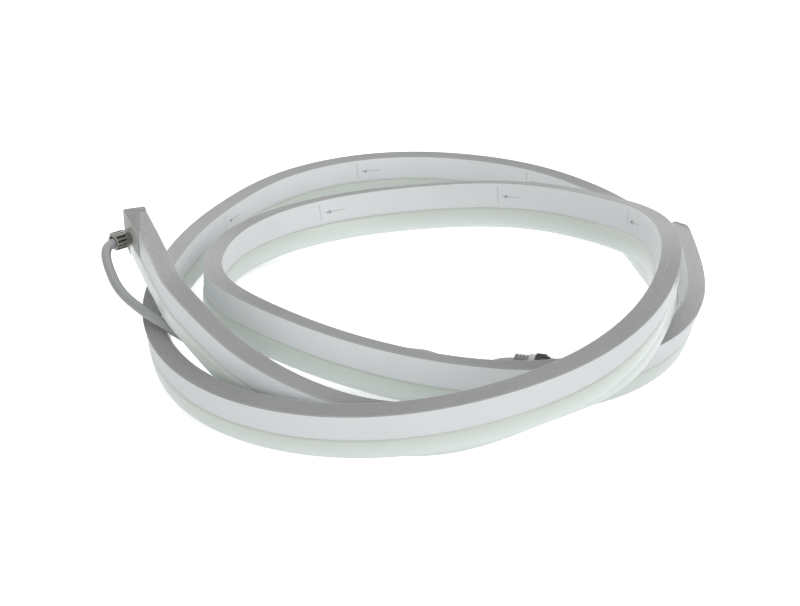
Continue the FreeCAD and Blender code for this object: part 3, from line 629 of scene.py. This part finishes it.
plug_start = Vector((PLUG_PLAN[0] + COIL_SHIFT[0], PLUG_PLAN[1] + COIL_SHIFT[1], PLUG_RADIUS)) * MM
plug_place = axis_place(plug_start, PLUG_HEADING, (0, 0, 1))
grip_profile = list(GRIP_FOOT)
for groove in GRIP_GROOVES:
    grip_profile += [(radius, groove + height) for radius, height in GRIP_GROOVE]
grip_profile += GRIP_TOP
grip_plastic = plastic("plug_grey_plastic", GRIP_DARK, GRIP_LIGHT, GRIP_ROUGHNESS)
grip = piece("plug_cord_grip", turned(grip_profile, plug_place, closed=True), grip_plastic, slot="plug_grey")
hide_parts("plug_grip")
ring_plastic = plastic("plug_light_plastic", RING_DARK, RING_LIGHT, RING_ROUGHNESS)
ring = piece("plug_light_ring", turned(RING, plug_place, closed=True), ring_plastic, slot="plug_light")
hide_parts("plug_ring")
barrel_mesh = turned(BARREL, Matrix.Identity(4))
flutes = []
for face in barrel_mesh.faces:
    middle = face.calc_center_median()
    turn = math.degrees(math.atan2(middle.y, middle.x)) % FLUTE_PITCH
    outside = middle.xy.length > FLUTE_OUTSIDE and FLUTE_FROM < middle.z < FLUTE_TO
    if outside and turn < FLUTE_PITCH / 2:
        flutes.append(face)
bmesh.ops.inset_individual(barrel_mesh, faces=flutes, thickness=FLUTE_RIM, depth=-FLUTE_DEPTH)
barrel_mesh.transform(plug_place)
barrel_plastic = plastic("plug_black_plastic", BARREL_DARK, BARREL_LIGHT, BARREL_ROUGHNESS)
barrel = piece("plug_fluted_barrel", barrel_mesh, barrel_plastic, slot="plug_black")
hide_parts("plug_barrel")

# The lead: a limp round two-core cable in pale grey sheath. It leaves the nut, bows out and down over the
# lowest strand, drops behind the front strands and lies on the floor as far as the plug.
LEAD_DIAMETER = 4.8
LEAD_START = 3.7
LEAD_OUT = NUT_TOP + 1.2
LEAD_TURN = Vector((-0.35, -0.87, -0.35)).normalized() * 6.3
LEAD_POINTS = (
    (-140.5, -33.8, 36.8), (-134.0, -46.5, 30.8), (-121.5, -60.5, 28.0), (-106.5, -77.0, 27.6),
    (-94.0, -83.0, 22.5), (-82.5, -78.0, 11.5), (-72.0, -62.5, 2.6), (-52.0, -46.5, 2.4),
    (-22.0, -51.0, 2.4), (4.0, -55.5, 2.4), (14.0, -57.0, 2.4), (24.0, -68.0, 2.4), (38.0, -73.0, 2.6))
LEAD_BEFORE_PLUG = 6.0
LEAD_IN_PLUG = 4.0
SHEATH_LIGHT = (0.335, 0.34, 0.347, 1)
SHEATH_DARK = (0.285, 0.29, 0.296, 1)
SHEATH_GRAIN = (1600.0, 0.00005)
SHEATH_ROUGHNESS = 0.42
lead_points = [gland_seat + gland_axis * LEAD_START * MM, gland_seat + gland_axis * LEAD_OUT * MM]
lead_points.append(lead_points[1] + LEAD_TURN * MM)
for x, y, z in LEAD_POINTS:
    lead_points.append(Vector((x + COIL_SHIFT[0], y + COIL_SHIFT[1], z)) * MM)
lead_points.append(plug_start - PLUG_HEADING * LEAD_BEFORE_PLUG * MM)
lead_points.append(plug_start + PLUG_HEADING * LEAD_IN_PLUG * MM)
lead_data = bpy.data.curves.new("lead_cord", "CURVE")
lead_data.dimensions = "3D"
lead_data.bevel_depth = LEAD_DIAMETER / 2 * MM
lead_data.bevel_resolution = 6
lead_data.resolution_u = 14
lead_data.use_fill_caps = True
lead_line = lead_data.splines.new("NURBS")
lead_line.points.add(len(lead_points) - 1)
for point, place in zip(lead_line.points, lead_points):
    point.co = (*place, 1)
lead_line.order_u = 3
lead_line.use_endpoint_u = True
lead_data.materials.append(rubber("lead_sheath", SHEATH_LIGHT, SHEATH_DARK, SHEATH_ROUGHNESS, SHEATH_GRAIN))
lead = bpy.data.objects.new("lead_cord", lead_data)
bpy.context.scene.collection.objects.link(lead)
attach(lead, "root")
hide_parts("lead_cable")

# The floor, the light and the camera: a pale paper floor that glows to white for the camera, soft light from
# a low window behind, boxes above and at the right and a far low one in front, and the photograph's view.
FLOOR_HALF = 6.0
PAPER_WHITE = (0.86, 0.87, 0.88, 1)
PAPER_ROUGHNESS = 0.9
PAPER_GLOW = 0.52
WHITE = (1, 1, 1, 1)
AMBIENT = 0.53
LAMPS = (
    ("back_window", (0.1, 1.05, 0.55), (2.4, 0.8), 11.0),
    ("top_box", (0.05, 0.15, 1.3), (1.2, 1.0), 5.5),
    ("right_box", (1.1, 0.25, 0.8), (0.8, 0.8), 1.4),
    ("front_low_box", (0.35, -2.2, 0.85), (1.8, 0.9), 19.0))
CAMERA_SPOT = (-0.004827, -0.800003, 0.4343)
CAMERA_AIM = Vector((-0.004827, 0.016697, 0))
CAMERA_LENS = 81.9
CAMERA_SENSOR = 36.0
floor_mesh = bmesh.new()
bmesh.ops.create_grid(floor_mesh, x_segments=1, y_segments=1, size=FLOOR_HALF)
floor_data = bpy.data.meshes.new("floor")
floor_mesh.to_mesh(floor_data)
floor_mesh.free()
floor = bpy.data.objects.new("floor", floor_data)
bpy.context.scene.collection.objects.link(floor)
paper, paper_shader, paper_place = finish("floor_paper", PAPER_ROUGHNESS, Base_Color=PAPER_WHITE,
                                          Specular_IOR_Level=0.1)
paths = paper_place.make("ShaderNodeLightPath")
ways = paths.socket.node.outputs
seen = Dye(paths.tree, ways["Is Camera Ray"]) + Dye(paths.tree, ways["Is Glossy Ray"])
seen = seen + Dye(paths.tree, ways["Is Transmission Ray"])
glow = paths.make("ShaderNodeEmission", Color=WHITE, Strength=seen * PAPER_GLOW)
both = paths.make("ShaderNodeAddShader", i0=Dye(paths.tree, paper_shader.outputs[0]), i1=glow)
both.join(paths.tree.nodes["Material Output"].inputs["Surface"], both)
floor_data.materials.append(paper)
world = bpy.data.worlds.new("studio")
bpy.context.scene.world = world
world.use_nodes = True
sky = world.node_tree.nodes["Background"]
sky.inputs["Color"].default_value = WHITE
sky.inputs["Strength"].default_value = AMBIENT
for name, spot, size, power in LAMPS:
    lamp_data = bpy.data.lights.new(name, "AREA")
    lamp_data.shape = "RECTANGLE"
    lamp_data.size, lamp_data.size_y = size
    lamp_data.energy = power
    lamp = bpy.data.objects.new(name, lamp_data)
    lamp.location = spot
    lamp.visible_camera = False
    lamp.rotation_euler = (-Vector(spot)).to_track_quat("-Z", "Y").to_euler()
    bpy.context.scene.collection.objects.link(lamp)
camera_data = bpy.data.cameras.new("photo_camera")
camera_data.lens = CAMERA_LENS
camera_data.sensor_width = CAMERA_SENSOR
camera = bpy.data.objects.new("photo_camera", camera_data)
camera.location = CAMERA_SPOT
camera.rotation_euler = (CAMERA_AIM - camera.location).to_track_quat("-Z", "Y").to_euler()
bpy.context.scene.collection.objects.link(camera)
bpy.context.scene.camera = camera
bpy.context.scene.view_settings.view_transform = "Standard"
